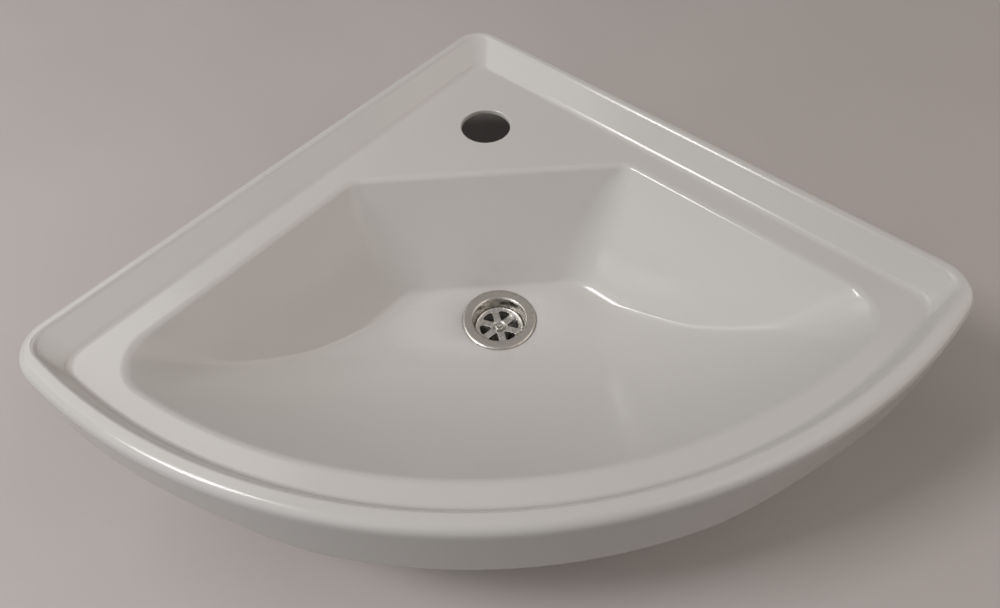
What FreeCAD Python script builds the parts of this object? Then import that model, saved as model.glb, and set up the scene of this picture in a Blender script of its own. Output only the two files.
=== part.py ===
import FreeCAD, Part
import math
import os
import Sketcher

# Corner basin: a thin moulded shell that fits a right-angled room corner, with a
# raised rim, a sunken deck with one tap hole, a dished bowl and a screw-down waste.
#
# Frame: millimetres, +Z up. The origin is where the two walls meet, level with the
# top of the rim. The walls run away from it at 45 degrees either side of -Y, so the
# curved front faces -Y and the basin is the same on both sides of X = 0.

SIZES = (
    # plan
    ("side_length", 400.0, "straight wall side, before its ends are rounded"),
    ("front_depth", 412.0, "wall corner to the middle of the curved front"),
    ("apex_radius", 22.0, "rounding where the two wall sides meet"),
    ("end_radius", 26.0, "rounding where a wall side meets the front"),
    # skin and rim
    ("skin", 4.0, "thickness of the moulded shell"),
    ("lip_depth", 35.0, "rim top to the bottom of the wall-side lips"),
    ("apron_depth", 50.0, "rim top to the bottom of the front apron"),
    ("apron_flat", 100.0, "half width over which the apron has its full depth"),
    ("apron_end", 180.0, "half width at which the apron is back to the lip's depth"),
    ("rim_round", 4.5, "rounding of the rim's outer edge"),
    ("rim_inner_round", 2.5, "rounding of the rim's inner edge"),
    # sunken deck
    ("deck_drop", 12.0, "rim top to the deck"),
    ("rim_side_width", 6.0, "rim top along the walls"),
    ("rim_front_width", 11.0, "rim top along the front"),
    ("deck_side_inset", 21.4, "wall to the foot of the slope inside the rim"),
    ("deck_front_inset", 17.5, "front to the foot of the step inside the rim"),
    ("deck_apex_radius", 12.0, "corner of the deck by the apex"),
    ("deck_end_radius", 14.0, "corner of the deck at each end"),
    ("deck_cove", 6.0, "hollow rounding where the rim's slope meets the deck"),
    # bowl
    ("mouth_side_inset", 43.0, "wall to the edge of the bowl"),
    ("mouth_front_inset", 33.0, "front to the edge of the bowl"),
    ("mouth_back", 154.4, "wall corner to the back edge of the bowl"),
    ("mouth_end_radius", 40.0, "plan corner of the bowl's mouth at each end"),
    ("mouth_back_radius", 12.0, "plan corner of the bowl's mouth at the back"),
    ("mouth_round", 6.0, "rounding of the bowl's edge"),
    ("bowl_depth", 82.0, "deck to the bowl's floor"),
    ("side_wall_angle", 59.0, "slope of the bowl's two side walls"),
    ("back_wall_angle", 67.0, "slope of the bowl's back wall"),
    ("dish_foot_slope", 0.3, "fall per length where the front reaches the floor"),
    ("crease_radius", 18.0, "plan rounding between the side walls and the front"),
    ("back_crease_radius", 24.0, "plan rounding between the side and back walls"),
    ("floor_round", 1.0, "hollow rounding round the bowl's floor"),
    # tap hole
    ("tap_hole", 35.0, "diameter of the tap hole"),
    ("tap_to_bowl", 48.2, "middle of the tap hole to the back edge of the bowl"),
    # waste: one screw pulls the strainer and flange down on to the body
    ("flange_back_gap", 3.2, "foot of the bowl's back wall to the flange"),
    ("flange_front_gap", 2.2, "flange to the foot of the front's fall"),
    ("seat_height", 2.5, "flat seat under the floor, up into the skin"),
    ("sheet_metal", 0.9, "thickness of the pressed steel flange and cup"),
    ("flange_radius", 26.2, "outside of the steel flange"),
    ("flange_edge_gap", 0.3, "floor to the turned-down edge of the flange"),
    ("flange_bevel", 1.4, "width of the flange's turned-down edge"),
    ("flange_dish", 0.3, "fall of the flange's top towards the cup"),
    ("cup_roll", 1.2, "rounded turn from the flange into the cup"),
    ("cup_mouth_radius", 18.8, "inside of the cup at its mouth"),
    ("cup_taper", 1.2, "how much narrower the cup is at its foot"),
    ("cup_depth", 9.0, "floor down to the ledge that carries the strainer"),
    ("ledge_width", 2.8, "ledge in the cup's foot that carries the strainer"),
    ("waste_hole_gap", 1.0, "play between the cup and the hole in the basin"),
    ("grid_gap", 0.3, "play between the strainer and the cup"),
    ("grid_thickness", 1.0, "thickness of the strainer"),
    ("grid_edge_rise", 0.5, "how far the strainer's edge stands up"),
    ("grid_edge_width", 1.0, "width of the strainer's raised edge"),
    ("grid_slots", 6, "openings in the strainer"),
    ("grid_slot_margin", 1.9, "strainer's raised edge to its openings"),
    ("grid_spoke", 5.0, "width of the strainer's spokes"),
    ("grid_slot_round", 1.8, "corner rounding of the openings"),
    ("grid_turn", 38.0, "turn of the strainer's openings, in degrees"),
    ("head_gap", 0.7, "screw's head to the edge of its recess in the strainer"),
    ("dimple_depth", 0.8, "depth of the recess for the screw's head"),
    ("screw_radius", 2.5, "thread of the M5 screw"),
    ("screw_play", 0.3, "play of the screw in the strainer"),
    ("thread_fit", 0.05, "play of the screw in its insert"),
    ("screw_point", 0.6, "chamfer of the screw's tip"),
    ("head_radius", 3.4, "head of the screw"),
    ("head_height", 1.7, "height of the screw's head"),
    ("head_round", 0.6, "bevel of the screw's head"),
    ("slot_width", 0.8, "width of the cross slot in the screw's head"),
    ("slot_length", 4.0, "length of each bar of the cross slot"),
    ("slot_depth", 1.0, "depth of the cross slot"),
    ("screw_tip_gap", 1.0, "tip of the screw to the foot of its insert"),
    ("upper_seal_height", 1.0, "flat seal under the flange, as pressed"),
    ("upper_seal_set_in", 0.2, "that seal to the flange's turned-down edge"),
    ("lower_seal_height", 3.0, "rubber seal under the basin, as pressed"),
    ("lower_seal_width", 9.0, "ring width of that seal"),
    ("seal_hole_gap", 0.3, "hole in the basin to the inside of the seals"),
    ("collar_overhang", 1.5, "lower seal to the outside of the collar"),
    ("collar_height", 3.0, "height of the waste body's collar"),
    ("chamber_gap", 0.5, "cup to the wall of the body's chamber"),
    ("chamber_clear", 3.0, "cup to the foot of the chamber"),
    ("body_wall", 3.0, "wall of the waste body round its chamber"),
    ("funnel_height", 5.0, "height of the taper into the tail"),
    ("tail_radius", 20.95, "outside of the 1 1/4 inch threaded tail"),
    ("tail_wall", 3.55, "wall of the tail, thread and all"),
    ("tail_length", 28.0, "length of the threaded tail"),
    ("tail_chamfer", 1.0, "lead-in at the tail's end"),
    ("boss_wall", 2.1, "plastic round the brass insert"),
    ("boss_drop", 1.5, "underside of the cup to the top of the boss"),
    ("insert_wall", 1.4, "wall of the brass insert round the screw"),
    ("insert_length", 10.0, "length of the brass insert"),
    ("insert_fit", 0.02, "play between the insert and its boss"),
    ("boss_floor", 2.0, "plastic left under the insert"),
    ("rib_width", 2.4, "thickness of the ribs that carry the boss"),
    ("rib_count", 3, "ribs that carry the boss"),
)

WALL_TURN = 45.0  # each wall's angle from the Y axis, in degrees
FALL_SHARES = (0.0, 0.3, 0.66, 0.88, 1.0)  # bowl sections, as shares of the front's fall
STEP_OVER = 1.0  # how far a cutting shape runs past what it cuts
ON_LINE = 0.01  # how near an edge's middle lies to the line that it belongs to

doc = FreeCAD.newDocument("corner_basin")
sheet = doc.addObject("Spreadsheet::Sheet", "sizes")
for row, (alias, size, meaning) in enumerate(SIZES, start=1):
    sheet.set(f"A{row}", alias)
    sheet.set(f"B{row}", str(size))
    sheet.setAlias(f"B{row}", alias)
    sheet.set(f"C{row}", meaning)
doc.recompute()


# ---------------------------------------------------------------- helpers

def number(owner, expression):
    """The present value of an expression, as a plain number."""
    value = owner.evalExpression(expression)
    return float(getattr(value, "Value", value))


def new_body(name):
    body = doc.addObject("PartDesign::Body", name)
    body.Label = name
    return body


def new_sketch(body, name, role, lift="0"):
    """A sketch on one of the body's own origin planes, lifted along its normal."""
    sketch = body.newObject("Sketcher::SketchObject", name)
    planes = [plane for plane in body.Origin.OriginFeatures if plane.Role == role]
    sketch.AttachmentSupport = [(planes[0], "")]
    sketch.MapMode = "FlatFace"
    sketch.setExpression("AttachmentOffset.Base.z", lift)
    return sketch


def bind(sketch, kind, places, expression):
    """Add one driving dimension to a sketch and tie it to the sheet."""
    value = number(sketch, expression)
    if kind == "Angle":
        value = math.radians(value)
    index = sketch.addConstraint(Sketcher.Constraint(kind, *places, value))
    sketch.setExpression(f"Constraints[{index}]", expression)


def tie(sketch, kind, *places):
    sketch.addConstraint(Sketcher.Constraint(kind, *places))


def polygon_sketch(body, name, role, corners, lift="0"):
    """A closed outline through corners given as pairs of expressions."""
    sketch = new_sketch(body, name, role, lift)
    points = []
    for across, up in corners:
        points.append(FreeCAD.Vector(number(sketch, across), number(sketch, up), 0))
    count = len(points)
    for index in range(count):
        segment = Part.LineSegment(points[index], points[(index + 1) % count])
        sketch.addGeometry(segment, False)
    for index in range(count):
        tie(sketch, "Coincident", index, 2, (index + 1) % count, 1)
    for index, (across, up) in enumerate(corners):
        bind(sketch, "DistanceX", (-1, 1, index, 1), across)
        bind(sketch, "DistanceY", (-1, 1, index, 1), up)
    return sketch


def circle_sketch(body, name, centre, radius, lift="0"):
    sketch = new_sketch(body, name, "XY_Plane", lift)
    middle = FreeCAD.Vector(number(sketch, centre[0]), number(sketch, centre[1]), 0)
    circle = Part.Circle(middle, FreeCAD.Vector(0, 0, 1), number(sketch, radius))
    sketch.addGeometry(circle, False)
    bind(sketch, "DistanceX", (-1, 1, 0, 3), centre[0])
    bind(sketch, "DistanceY", (-1, 1, 0, 3), centre[1])
    bind(sketch, "Radius", (0,), radius)
    return sketch


def arc(centre, radius, start, end):
    circle = Part.Circle(centre, FreeCAD.Vector(0, 0, 1), radius)
    return Part.ArcOfCircle(circle, start, end)


def sector_sketch(body, name, lift, half_angle, middle_back, side, front, rounds, back=None):
    """A sector with rounded corners: two straight sides, a front arc, an apex or back.

    The sides leave the sketch's origin at half_angle either side of -Y, moved in by
    side. front is the radius of the front arc, whose middle lies middle_back from the
    origin. rounds are the rounding at the front's two ends and at the apex. With back
    given, a straight back edge cuts the apex off at that distance, and the second
    rounding is for the back edge's two ends.
    """
    sketch = new_sketch(body, name, "XY_Plane", lift)
    inset = number(sketch, side)
    reach = number(sketch, front)
    middle_y = -number(sketch, middle_back)
    end_round, back_round = (number(sketch, size) for size in rounds)
    turn = math.radians(half_angle)
    out_x = math.cos(turn)
    out_y = math.sin(turn)

    # The end rounding touches the side and, from inside, the front arc.
    ratio = out_x / out_y
    lean = (inset + end_round) / out_y + middle_y
    span = reach - end_round
    square = 1 + ratio ** 2
    root = math.sqrt((ratio * lean) ** 2 - square * (lean ** 2 - span ** 2))
    end_x = (root - ratio * lean) / square
    end_y = -(inset + end_round) / out_y - ratio * end_x
    low = math.atan2(end_y - middle_y, end_x)
    outward = FreeCAD.Vector(out_x, out_y, 0)
    end_middle = FreeCAD.Vector(end_x, end_y, 0)

    if back is None:
        back_middle = FreeCAD.Vector(0, -(inset + back_round) / out_y, 0)
    else:
        back_y = -number(sketch, back) - back_round
        back_x = -(inset + back_round + out_y * back_y) / out_x
        back_middle = FreeCAD.Vector(back_x, back_y, 0)
    side_low = end_middle + outward * end_round
    side_high = back_middle + outward * back_round

    def mirrored(point):
        return FreeCAD.Vector(-point.x, point.y, 0)

    shapes = [arc(FreeCAD.Vector(0, middle_y, 0), reach, -math.pi - low, low)]
    shapes.append(arc(end_middle, end_round, low, turn))
    shapes.append(Part.LineSegment(side_low, side_high))
    if back is None:
        shapes.append(arc(back_middle, back_round, turn, math.pi - turn))
    else:
        right_top = back_middle + FreeCAD.Vector(0, back_round, 0)
        shapes.append(arc(back_middle, back_round, turn, math.pi / 2))
        shapes.append(Part.LineSegment(right_top, mirrored(right_top)))
        shapes.append(arc(mirrored(back_middle), back_round, math.pi / 2, math.pi - turn))
    shapes.append(Part.LineSegment(mirrored(side_high), mirrored(side_low)))
    shapes.append(arc(mirrored(end_middle), end_round, math.pi - turn, math.pi - low))
    for shape in shapes:
        sketch.addGeometry(shape, False)

    count = len(shapes)
    right_side = 2
    left_side = count - 2
    for index in range(count):
        tie(sketch, "Tangent", index, 2, (index + 1) % count, 1)
    if middle_y:
        tie(sketch, "PointOnObject", 0, 3, -2)
        bind(sketch, "DistanceY", (-1, 1, 0, 3), f"-{middle_back}")
    else:
        tie(sketch, "Coincident", 0, 3, -1, 1)
    bind(sketch, "Radius", (0,), front)
    bind(sketch, "Angle", (right_side,), f"90 + {half_angle}")
    bind(sketch, "Angle", (left_side,), f"-90 - {half_angle}")
    for line in (right_side, left_side):
        if inset:
            bind(sketch, "Distance", (-1, 1, line), side)
        else:
            tie(sketch, "PointOnObject", -1, 1, line)
    tie(sketch, "Equal", 1, count - 1)
    bind(sketch, "Radius", (1,), rounds[0])
    bind(sketch, "Radius", (3,), rounds[1])
    if back is not None:
        tie(sketch, "Equal", 3, 5)
        tie(sketch, "Horizontal", 4)
        bind(sketch, "DistanceY", (-1, 1, 4, 1), f"-({back})")
    return sketch


def plan_sketch(body, name, lift, side, front, rounds, back=None):
    """One level of the basin in plan."""
    return sector_sketch(
        body, name, lift, WALL_TURN, FRONT_CENTRE, side, front, rounds, back
    )


def pad(body, name, sketch, length, downwards=False):
    feature = body.newObject("PartDesign::Pad", name)
    feature.Profile = sketch
    feature.Reversed = downwards
    feature.setExpression("Length", length)
    doc.recompute()
    return feature


def pocket(body, name, sketch, length=None, both_ways=False):
    """Cut against the sketch's normal, right through unless a length is given."""
    feature = body.newObject("PartDesign::Pocket", name)
    feature.Profile = sketch
    feature.Midplane = both_ways
    if length is None:
        feature.Type = "ThroughAll"
    else:
        feature.setExpression("Length", length)
    doc.recompute()
    return feature


def ring_of(body, name, feature, sketch, count):
    """Repeat a feature evenly about the sketch's normal through its origin."""
    pattern = body.newObject("PartDesign::PolarPattern", name)
    pattern.Originals = [feature]
    pattern.Axis = (sketch, ["N_Axis"])
    pattern.Angle = 360
    pattern.setExpression("Occurrences", count)
    body.Tip = pattern
    doc.recompute()
    return pattern


def loft(body, name, kind, sketches):
    feature = body.newObject(f"PartDesign::{kind}Loft", name)
    feature.Profile = sketches[0]
    feature.Sections = sketches[1:]
    doc.recompute()
    return feature


def turned(body, name, corners):
    """A solid of revolution about the body's Z axis."""
    sketch = polygon_sketch(body, f"{name}_profile", "XZ_Plane", corners)
    feature = body.newObject("PartDesign::Revolution", name)
    feature.Profile = sketch
    feature.ReferenceAxis = (sketch, ["V_Axis"])
    feature.Angle = 360
    doc.recompute()
    return feature


def edges_on(feature, sketch):
    """Names of the feature's edges whose middles lie on a sketch's outline."""
    names = []
    for index, edge in enumerate(feature.Shape.Edges, start=1):
        middle = edge.valueAt((edge.FirstParameter + edge.LastParameter) / 2)
        if sketch.Shape.distToShape(Part.Vertex(middle))[0] < ON_LINE:
            names.append(f"Edge{index}")
    return names


def fillet(body, name, base, edges, radius):
    feature = body.newObject("PartDesign::Fillet", name)
    feature.Base = (base, edges)
    feature.setExpression("Radius", radius)
    doc.recompute()
    return feature


# ------------------------------------------------------- shared expressions

# The front is an arc through both ends of the wall sides and the front's middle.
FRONT_CENTRE = (
    "((sizes.front_depth ^ 2 - sizes.side_length ^ 2)"
    " / (2 * sizes.front_depth - sqrt(2) * sizes.side_length))"
)
FRONT_RADIUS = f"(sizes.front_depth - {FRONT_CENTRE})"
DECK_UNDERSIDE = "(sizes.deck_drop + sizes.skin)"
FLOOR_LEVEL = "(sizes.deck_drop + sizes.bowl_depth)"
FLOOR_UNDERSIDE = f"({FLOOR_LEVEL} + sizes.skin)"
TAP_BACK = "(sizes.mouth_back - sizes.tap_to_bowl)"
WASTE_BACK = (
    "(sizes.mouth_back + sizes.bowl_depth / tan(sizes.back_wall_angle)"
    " + sizes.flange_back_gap + sizes.flange_radius)"
)
DISH_RUN = (
    f"(sizes.front_depth - sizes.mouth_front_inset - {WASTE_BACK}"
    " - sizes.flange_radius - sizes.flange_front_gap)"
)
DISH_CURVE = (
    f"((sizes.bowl_depth - sizes.dish_foot_slope * {DISH_RUN}) / {DISH_RUN} ^ 2)"
)


def behind_slope(start, end, depth):
    """Inset of the underside, one skin from the rim's inner slope, at a depth."""
    lean = f"(({end} - {start}) / sizes.deck_drop)"
    return f"({start} + {depth} * {lean} - sizes.skin * sqrt(1 + {lean} ^ 2))"


def bowl_level(share, outside):
    """Depth below the deck and plan sizes of the bowl at one of its sections.

    The front falls as a parabola. Its outside lies one skin away, square to it.
    """
    run = f"({DISH_RUN} * {round(1 - share, 2)})"
    height = f"({run} * (sizes.dish_foot_slope + {DISH_CURVE} * {run}))"
    slope = f"(sizes.dish_foot_slope + 2 * {DISH_CURVE} * {run})"
    depth = f"(sizes.bowl_depth - {height})"
    reach = f"({FRONT_RADIUS} - sizes.mouth_front_inset - {DISH_RUN} + {run})"
    side_back = "0"
    rear_back = "0"
    if outside:
        length = f"sqrt(1 + {slope} ^ 2)"
        if share == 1.0:
            depth = f"({depth} + sizes.skin)"
        else:
            depth = f"({depth} + sizes.skin / {length})"
        reach = f"({reach} + sizes.skin * {slope} / {length})"
        side_back = "sizes.skin / sin(sizes.side_wall_angle)"
        rear_back = "sizes.skin / sin(sizes.back_wall_angle)"
    side = f"(sizes.mouth_side_inset + {depth} / tan(sizes.side_wall_angle) - {side_back})"
    back = f"(sizes.mouth_back + {depth} / tan(sizes.back_wall_angle) - {rear_back})"
    return depth, side, reach, back


# ----------------------------------------------------------- the basin shell

def rim_and_skirt(body):
    """The rim's plate, the lips against the walls and the deeper front apron."""
    rounds = ("sizes.end_radius", "sizes.apex_radius")
    outline = plan_sketch(body, "outline", "0", "0", FRONT_RADIUS, rounds)
    block = pad(body, "rim_block", outline, "sizes.lip_depth", downwards=True)
    fillet(body, "rim_edge", block, edges_on(block, outline), "sizes.rim_round")

    inner_rounds = tuple(f"({size} - sizes.skin)" for size in rounds)
    inner_front = f"({FRONT_RADIUS} - sizes.skin)"
    hollow = plan_sketch(
        body, "hollow", "-sizes.skin", "sizes.skin", inner_front, inner_rounds
    )
    pocket(body, "underside", hollow)

    strip = apron_strip(body)
    pad(body, "apron", strip, "(sizes.apron_depth - sizes.lip_depth)", downwards=True)
    for name, sign in (("ramp_right", ""), ("ramp_left", "-")):
        inner = f"{sign}sizes.apron_flat"
        outer = f"{sign}(sizes.apron_end + {STEP_OVER})"
        corners = (
            (inner, "-sizes.apron_depth"),
            (f"{sign}sizes.apron_end", "-sizes.lip_depth"),
            (outer, "-sizes.lip_depth"),
            (outer, f"-sizes.apron_depth - {STEP_OVER}"),
            (inner, f"-sizes.apron_depth - {STEP_OVER}"),
        )
        ramp = polygon_sketch(body, name, "XZ_Plane", corners)
        pocket(body, f"{name}_cut", ramp, both_ways=True)


def apron_strip(body):
    """Plan of the apron below the lips: a strip one skin thick along the front."""
    sketch = new_sketch(body, "apron_strip", "XY_Plane", "-sizes.lip_depth")
    outer = number(sketch, FRONT_RADIUS)
    inner = outer - number(sketch, "sizes.skin")
    half = number(sketch, "sizes.apron_end")
    middle = FreeCAD.Vector(0, -number(sketch, FRONT_CENTRE), 0)
    outer_end = -math.acos(half / outer)
    inner_end = -math.acos(half / inner)

    def on_arc(radius, angle):
        return middle + FreeCAD.Vector(math.cos(angle), math.sin(angle), 0) * radius

    right = Part.LineSegment(on_arc(outer, outer_end), on_arc(inner, inner_end))
    left = Part.LineSegment(
        on_arc(inner, -math.pi - inner_end), on_arc(outer, -math.pi - outer_end)
    )
    sketch.addGeometry(arc(middle, outer, -math.pi - outer_end, outer_end), False)
    sketch.addGeometry(right, False)
    sketch.addGeometry(arc(middle, inner, -math.pi - inner_end, inner_end), False)
    sketch.addGeometry(left, False)
    tie(sketch, "Coincident", 0, 2, 1, 1)
    tie(sketch, "Coincident", 1, 2, 2, 2)
    tie(sketch, "Coincident", 2, 1, 3, 1)
    tie(sketch, "Coincident", 3, 2, 0, 1)
    tie(sketch, "Coincident", 0, 3, 2, 3)
    tie(sketch, "PointOnObject", 0, 3, -2)
    bind(sketch, "DistanceY", (-1, 1, 0, 3), f"-{FRONT_CENTRE}")
    bind(sketch, "Radius", (0,), FRONT_RADIUS)
    bind(sketch, "Radius", (2,), f"({FRONT_RADIUS} - sizes.skin)")
    tie(sketch, "Vertical", 1)
    tie(sketch, "Vertical", 3)
    bind(sketch, "DistanceX", (-1, 1, 1, 1), "sizes.apron_end")
    bind(sketch, "DistanceX", (-1, 1, 3, 1), "-sizes.apron_end")
    return sketch


def deck_skin(body):
    """The underside of the sunken deck and of the slopes that lead down to it."""
    slopes = (
        ("sizes.rim_side_width", "sizes.deck_side_inset"),
        ("sizes.rim_front_width", "sizes.deck_front_inset"),
    )
    rounds = (
        "(sizes.deck_end_radius + sizes.skin)",
        "(sizes.deck_apex_radius + sizes.skin)",
    )
    sketches = []
    for name, depth in (("deck_skin_top", "sizes.skin"), ("deck_skin_foot", DECK_UNDERSIDE)):
        side, front = (behind_slope(start, end, depth) for start, end in slopes)
        inner_front = f"({FRONT_RADIUS} - {front})"
        sketches.append(plan_sketch(body, name, f"-{depth}", side, inner_front, rounds))
    loft(body, "deck_skin", "Additive", sketches)


def bowl_sections(body, name, outside):
    """Plan sketches of the bowl from its mouth to its floor."""
    sketches = []
    last = len(FALL_SHARES) - 1
    grown = "sizes.skin" if outside else "0"
    for index, share in enumerate(FALL_SHARES):
        depth, side, reach, back = bowl_level(share, outside)
        end = "sizes.mouth_end_radius" if index == 0 else "sizes.crease_radius"
        corner = "sizes.back_crease_radius"
        if index in (0, last):
            corner = "sizes.mouth_back_radius"
        rounds = (f"({end} + {grown})", f"({corner} + {grown})")
        lift = f"-(sizes.deck_drop + {depth})"
        sketches.append(plan_sketch(
            body, f"{name}_{index}", lift, side, reach, rounds, back
        ))
    return sketches


def basin_shell():
    body = new_body("basin_shell")
    rim_and_skirt(body)
    deck_skin(body)
    loft(body, "bowl_skin", "Additive", bowl_sections(body, "bowl_outside", True))
    waste_middle = ("0", f"-{WASTE_BACK}")
    seat = circle_sketch(body, "seat", waste_middle, COLLAR_RADIUS, f"-{FLOOR_UNDERSIDE}")
    pad(body, "waste_seat", seat, "sizes.seat_height")

    rounds = ("sizes.deck_end_radius", "sizes.deck_apex_radius")
    tray = []
    for name, lift, side, front in (
        ("tray_top", "0", "sizes.rim_side_width", "sizes.rim_front_width"),
        ("tray_foot", "-sizes.deck_drop", "sizes.deck_side_inset", "sizes.deck_front_inset"),
    ):
        inner_front = f"({FRONT_RADIUS} - {front})"
        tray.append(plan_sketch(body, name, lift, side, inner_front, rounds))
    loft(body, "tray", "Subtractive", tray)
    bowl = bowl_sections(body, "bowl_inside", False)
    shell = loft(body, "bowl", "Subtractive", bowl)
    for name, line, radius in (
        ("mouth_edge", bowl[0], "sizes.mouth_round"),
        ("floor_edge", bowl[-1], "sizes.floor_round"),
        ("rim_inner_edge", tray[0], "sizes.rim_inner_round"),
        ("deck_edge", tray[1], "sizes.deck_cove"),
    ):
        shell = fillet(body, name, shell, edges_on(shell, line), radius)

    tap = circle_sketch(body, "tap_circle", ("0", f"-{TAP_BACK}"), "sizes.tap_hole / 2")
    pocket(body, "tap_hole_cut", tap)
    waste = circle_sketch(body, "waste_circle", waste_middle, WASTE_HOLE)
    pocket(body, "waste_hole_cut", waste)
    return body


# ----------------------------------------------------------------- the waste
# These bodies are drawn about the waste's own axis, with Z = 0 on the bowl's floor.

FLANGE_SHOULDER = "(sizes.flange_radius - sizes.flange_bevel)"
CUP_OUTSIDE = "(sizes.cup_mouth_radius + sizes.sheet_metal)"
CUP_FOOT = "(sizes.cup_mouth_radius - sizes.cup_taper)"
CUP_UNDERSIDE = "(sizes.cup_depth + sizes.sheet_metal)"
WASTE_HOLE = f"({CUP_OUTSIDE} + sizes.waste_hole_gap)"
SEAL_HOLE = f"({WASTE_HOLE} + sizes.seal_hole_gap)"
UPPER_SEAL_OUTSIDE = f"({FLANGE_SHOULDER} - sizes.upper_seal_set_in)"
LOWER_SEAL_OUTSIDE = f"({SEAL_HOLE} + sizes.lower_seal_width)"
COLLAR_RADIUS = f"({LOWER_SEAL_OUTSIDE} + sizes.collar_overhang)"
FLANGE_TOP = "(sizes.upper_seal_height + sizes.sheet_metal)"
GRID_TOP = "(sizes.grid_thickness - sizes.cup_depth)"
HEAD_SEAT = f"({GRID_TOP} - sizes.dimple_depth)"
DIMPLE_RADIUS = "(sizes.head_radius + sizes.head_gap)"
BODY_TOP = "-(sizes.skin + sizes.lower_seal_height)"
CHAMBER_RADIUS = f"({CUP_OUTSIDE} + sizes.chamber_gap)"
CHAMBER_FOOT = f"(-{CUP_UNDERSIDE} - sizes.chamber_clear)"
TAIL_TOP = f"({CHAMBER_FOOT} - sizes.funnel_height)"
TAIL_END = f"({TAIL_TOP} - sizes.tail_length)"
TAIL_BORE = "(sizes.tail_radius - sizes.tail_wall)"
BOSS_TOP = f"(-{CUP_UNDERSIDE} - sizes.boss_drop)"
INSERT_FOOT = f"({BOSS_TOP} - sizes.insert_length)"
BOSS_FOOT = f"({INSERT_FOOT} - sizes.boss_floor)"
INSERT_RADIUS = "(sizes.screw_radius + sizes.insert_wall)"
BOSS_RADIUS = f"({INSERT_RADIUS} + sizes.insert_fit + sizes.boss_wall)"


def waste_piece(name):
    """A body whose own Z axis is the waste's axis and whose Z = 0 is the floor."""
    body = new_body(name)
    body.setExpression("Placement.Base.y", f"-{WASTE_BACK}")
    body.setExpression("Placement.Base.z", f"-{FLOOR_LEVEL}")
    return body


def waste_flange():
    """Pressed steel: a flange with a turned-down edge, a cup and a ledge inside it."""
    body = waste_piece("waste_flange")
    roll_top = f"({FLANGE_TOP} - sizes.flange_dish)"
    ledge = f"({CUP_FOOT} - sizes.ledge_width)"
    turned(body, "flange", (
        ("sizes.flange_radius", "sizes.flange_edge_gap"),
        ("sizes.flange_radius", "sizes.flange_edge_gap + sizes.sheet_metal"),
        (FLANGE_SHOULDER, FLANGE_TOP),
        ("sizes.cup_mouth_radius + sizes.cup_roll", roll_top),
        ("sizes.cup_mouth_radius", f"{roll_top} - sizes.cup_roll"),
        (CUP_FOOT, "-sizes.cup_depth"),
        (ledge, "-sizes.cup_depth"),
        (ledge, f"-{CUP_UNDERSIDE}"),
        (f"{CUP_FOOT} + sizes.sheet_metal", f"-{CUP_UNDERSIDE}"),
        (CUP_OUTSIDE, "sizes.upper_seal_height"),
        (FLANGE_SHOULDER, "sizes.upper_seal_height"),
    ))


def strainer_grid():
    """The spoked disc on the cup's ledge, with a recess for the screw's head."""
    body = waste_piece("strainer_grid")
    body.Placement.Rotation = FreeCAD.Rotation(FreeCAD.Vector(0, 0, 1), 0)
    body.setExpression("Placement.Rotation.Angle", "sizes.grid_turn")
    foot = "-sizes.cup_depth"
    hole = "(sizes.screw_radius + sizes.screw_play)"
    edge = f"({CUP_FOOT} - sizes.grid_gap)"
    edge_top = f"({GRID_TOP} + sizes.grid_edge_rise)"
    edge_inner = f"({edge} - sizes.grid_edge_width)"
    edge_foot = f"({edge_inner} - sizes.grid_edge_rise)"
    below = f"({HEAD_SEAT} - sizes.grid_thickness)"
    turned(body, "disc", (
        (hole, HEAD_SEAT),
        (hole, below),
        (f"{DIMPLE_RADIUS} + sizes.grid_thickness / 2", below),
        (f"{DIMPLE_RADIUS} + sizes.dimple_depth + sizes.grid_thickness / 2", foot),
        (edge, foot),
        (edge, edge_top),
        (edge_inner, edge_top),
        (edge_foot, GRID_TOP),
        (f"{DIMPLE_RADIUS} + sizes.dimple_depth", GRID_TOP),
        (DIMPLE_RADIUS, HEAD_SEAT),
    ))
    rounds = ("sizes.grid_slot_round", "sizes.grid_slot_round")
    half_turn = 180 / number(sheet, "grid_slots")
    opening = sector_sketch(
        body, "opening", GRID_TOP, half_turn, "0", "(sizes.grid_spoke / 2)",
        f"({edge_foot} - sizes.grid_slot_margin)", rounds,
    )
    slot = pocket(body, "slot", opening, "(sizes.grid_thickness * 2)")
    ring_of(body, "slots", slot, opening, "sizes.grid_slots")


def centre_screw():
    """The screw whose head sits in the strainer and whose tip ends in the insert."""
    body = waste_piece("centre_screw")
    head_top = f"({HEAD_SEAT} + sizes.head_height)"
    tip = f"({INSERT_FOOT} + sizes.screw_tip_gap)"
    turned(body, "screw", (
        ("0", tip),
        ("sizes.screw_radius - sizes.screw_point", tip),
        ("sizes.screw_radius", f"{tip} + sizes.screw_point"),
        ("sizes.screw_radius", HEAD_SEAT),
        ("sizes.head_radius", HEAD_SEAT),
        ("sizes.head_radius", f"{head_top} - sizes.head_round"),
        ("sizes.head_radius - sizes.head_round", head_top),
        ("0", head_top),
    ))
    long = "sizes.slot_length / 2"
    thin = "sizes.slot_width / 2"
    cross = polygon_sketch(body, "cross", "XY_Plane", (
        (long, f"-{thin}"), (long, thin), (thin, thin), (thin, long),
        (f"-{thin}", long), (f"-{thin}", thin), (f"-{long}", thin), (f"-{long}", f"-{thin}"),
        (f"-{thin}", f"-{thin}"), (f"-{thin}", f"-{long}"), (thin, f"-{long}"), (thin, f"-{thin}"),
    ), head_top)
    pocket(body, "cross_slot", cross, "sizes.slot_depth")


def seal(name, outer, foot, height):
    """A flat ring that clears the hole in the basin."""
    body = waste_piece(name)
    top = f"({foot} + {height})"
    turned(body, f"{name}_ring", (
        (SEAL_HOLE, foot), (outer, foot), (outer, top), (SEAL_HOLE, top),
    ))


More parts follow.
